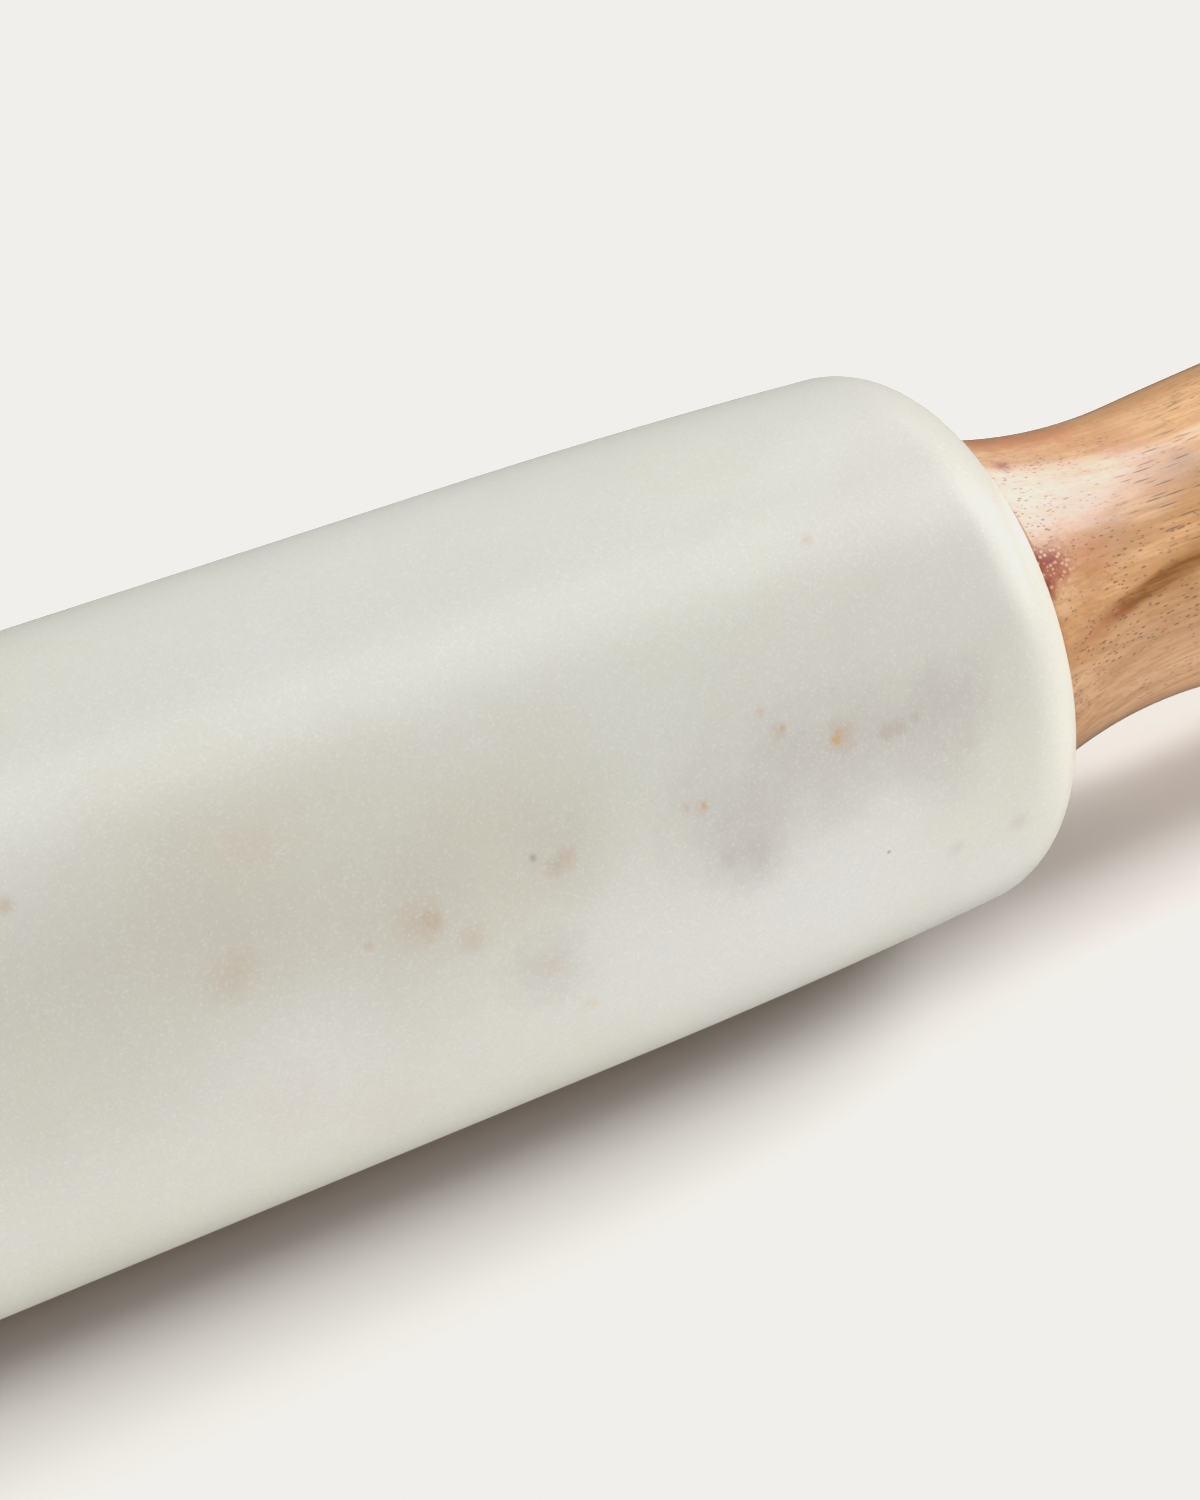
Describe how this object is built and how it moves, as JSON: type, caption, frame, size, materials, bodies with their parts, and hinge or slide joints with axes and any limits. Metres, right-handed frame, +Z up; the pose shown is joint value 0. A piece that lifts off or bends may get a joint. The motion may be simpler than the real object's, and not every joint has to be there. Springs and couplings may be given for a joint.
{
  "type": "marble rolling pin",
  "caption": "Rolling pin with a heavy honed marble barrel that spins on a steel axle between two waisted wooden handles.",
  "frame": {"origin": "middle of the barrel, on the axle's centre line", "axes": "+X along the axle, +Z up; the pin lies on a worktop at z = -0.030"},
  "size_m": [0.46, 0.06, 0.06],
  "materials": {
    "marble": "honed satin",
    "acacia": "lacquered gloss",
    "axle_steel": "ground",
    "fastener_steel": "zinc plated",
    "bush_nylon": "moulded"
  },
  "bodies": {
    "axle_and_handles": {"axle_rod": "axle_steel", "left_thrust_washer": "fastener_steel", "left_handle": "acacia", "left_seat_washer": "fastener_steel", "left_spring_washer": "fastener_steel", "left_nut": "fastener_steel", "left_end_plug": "acacia", "right_thrust_washer": "fastener_steel", "right_handle": "acacia", "right_seat_washer": "fastener_steel", "right_spring_washer": "fastener_steel", "right_nut": "fastener_steel", "right_end_plug": "acacia"},
    "roller": {"barrel": "marble", "left_bush": "bush_nylon", "right_bush": "bush_nylon"}
  },
  "joints": [
    {"name": "barrel_spin", "type": "hinge", "parent": "axle_and_handles", "child": "roller", "pos_m": [0, 0, 0], "axis": [1, 0, 0], "continuous": true}
  ]
}
